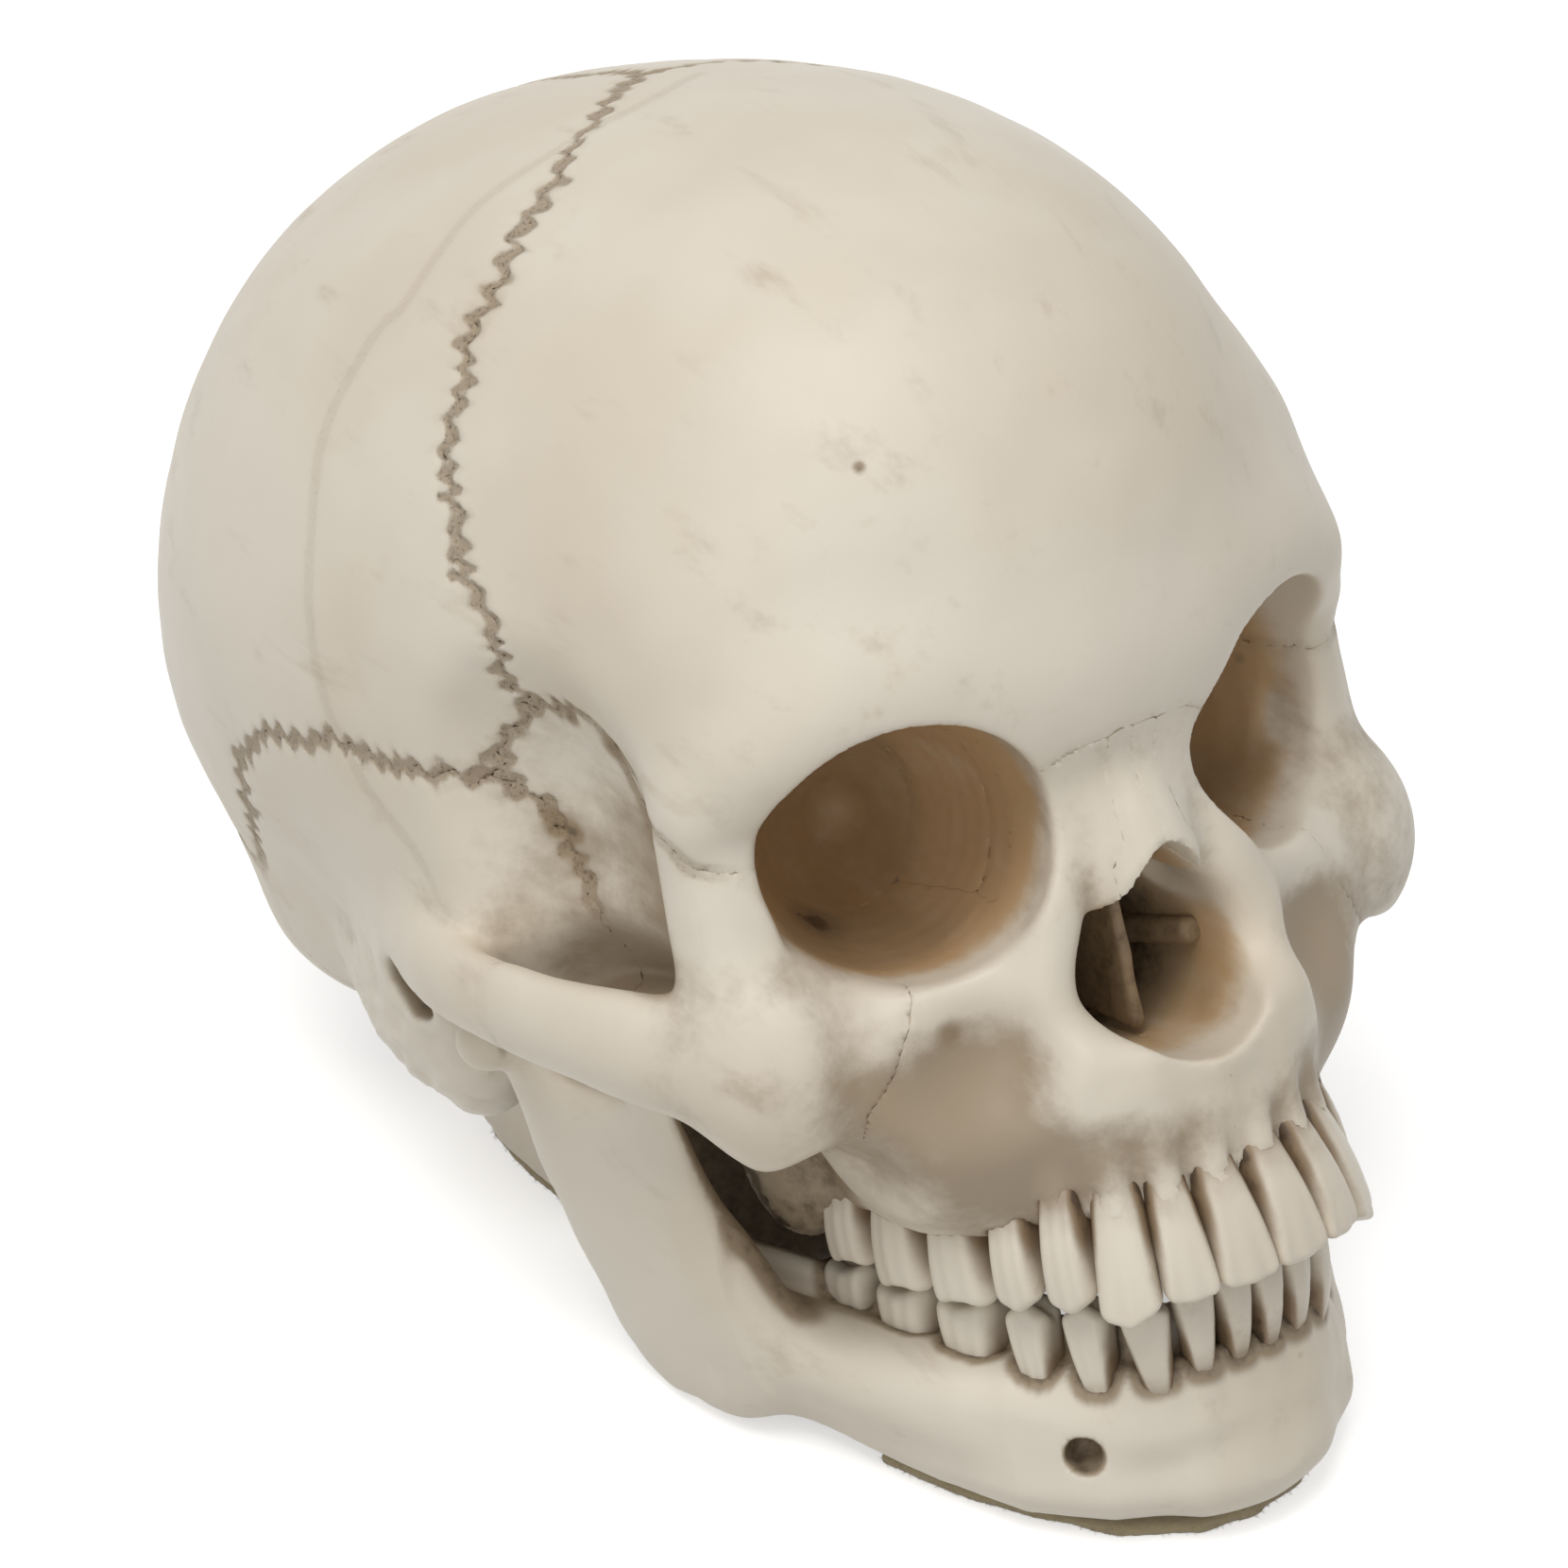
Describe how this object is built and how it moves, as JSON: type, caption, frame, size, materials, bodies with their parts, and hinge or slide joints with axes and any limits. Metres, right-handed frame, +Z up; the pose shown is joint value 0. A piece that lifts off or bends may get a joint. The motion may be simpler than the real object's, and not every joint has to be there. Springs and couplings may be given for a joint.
{
  "type": "anatomical skull model",
  "caption": "Life-size human skull teaching model with separate bones and teeth, a hinged jaw, a neck block and felt pads.",
  "frame": {"origin": "middle of the outline, on the ground under the pads", "axes": "+Z up; the face looks towards -Y and a little upwards; +X is the skull's own left side"},
  "size_m": [0.1398, 0.219, 0.1723],
  "materials": {
    "bone_resin": "satin cast resin, ivory with brown stain in the sutures",
    "tooth_resin": "satin cast resin, paler than the bone",
    "pin_steel": "plain steel rod",
    "tan_felt": "thin tan felt"
  },
  "bodies": {
    "cranium": {"ethmoid_bone": "bone_resin", "frontal_bone": "bone_resin", "hinge_pin_left": "pin_steel", "hinge_pin_right": "pin_steel", "inferior_concha_left": "bone_resin", "inferior_concha_right": "bone_resin", "lacrimal_bone_left": "bone_resin", "lacrimal_bone_right": "bone_resin", "maxilla_left": "bone_resin", "maxilla_right": "bone_resin", "nasal_bone_left": "bone_resin", "nasal_bone_right": "bone_resin", "neck_felt_pad": "tan_felt", "neck_support_block": "bone_resin", "occipital_bone": "bone_resin", "palatine_bone_left": "bone_resin", "palatine_bone_right": "bone_resin", "parietal_bone_left": "bone_resin", "parietal_bone_right": "bone_resin", "sphenoid_bone": "bone_resin", "temporal_bone_left": "bone_resin", "temporal_bone_right": "bone_resin", "upper_canine_left": "tooth_resin", "upper_canine_right": "tooth_resin", "upper_central_incisor_left": "tooth_resin", "upper_central_incisor_right": "tooth_resin", "upper_first_molar_left": "tooth_resin", "upper_first_molar_right": "tooth_resin", "upper_first_premolar_left": "tooth_resin", "upper_first_premolar_right": "tooth_resin", "upper_lateral_incisor_left": "tooth_resin", "upper_lateral_incisor_right": "tooth_resin", "upper_second_molar_left": "tooth_resin", "upper_second_molar_right": "tooth_resin", "upper_second_premolar_left": "tooth_resin", "upper_second_premolar_right": "tooth_resin", "upper_third_molar_left": "tooth_resin", "upper_third_molar_right": "tooth_resin", "vomer": "bone_resin", "zygomatic_bone_left": "bone_resin", "zygomatic_bone_right": "bone_resin"},
    "jaw": {"jaw_felt_pad": "tan_felt", "lower_canine_left": "tooth_resin", "lower_canine_right": "tooth_resin", "lower_central_incisor_left": "tooth_resin", "lower_central_incisor_right": "tooth_resin", "lower_first_molar_left": "tooth_resin", "lower_first_molar_right": "tooth_resin", "lower_first_premolar_left": "tooth_resin", "lower_first_premolar_right": "tooth_resin", "lower_lateral_incisor_left": "tooth_resin", "lower_lateral_incisor_right": "tooth_resin", "lower_second_molar_left": "tooth_resin", "lower_second_molar_right": "tooth_resin", "lower_second_premolar_left": "tooth_resin", "lower_second_premolar_right": "tooth_resin", "lower_third_molar_left": "tooth_resin", "lower_third_molar_right": "tooth_resin", "mandible": "bone_resin"}
  },
  "joints": [
    {"name": "jaw_hinge", "type": "hinge", "parent": "cranium", "child": "jaw", "pos_m": [0, -0.00763, 0.04852], "axis": [1, 0, 0], "range_deg": [0, 25]}
  ]
}
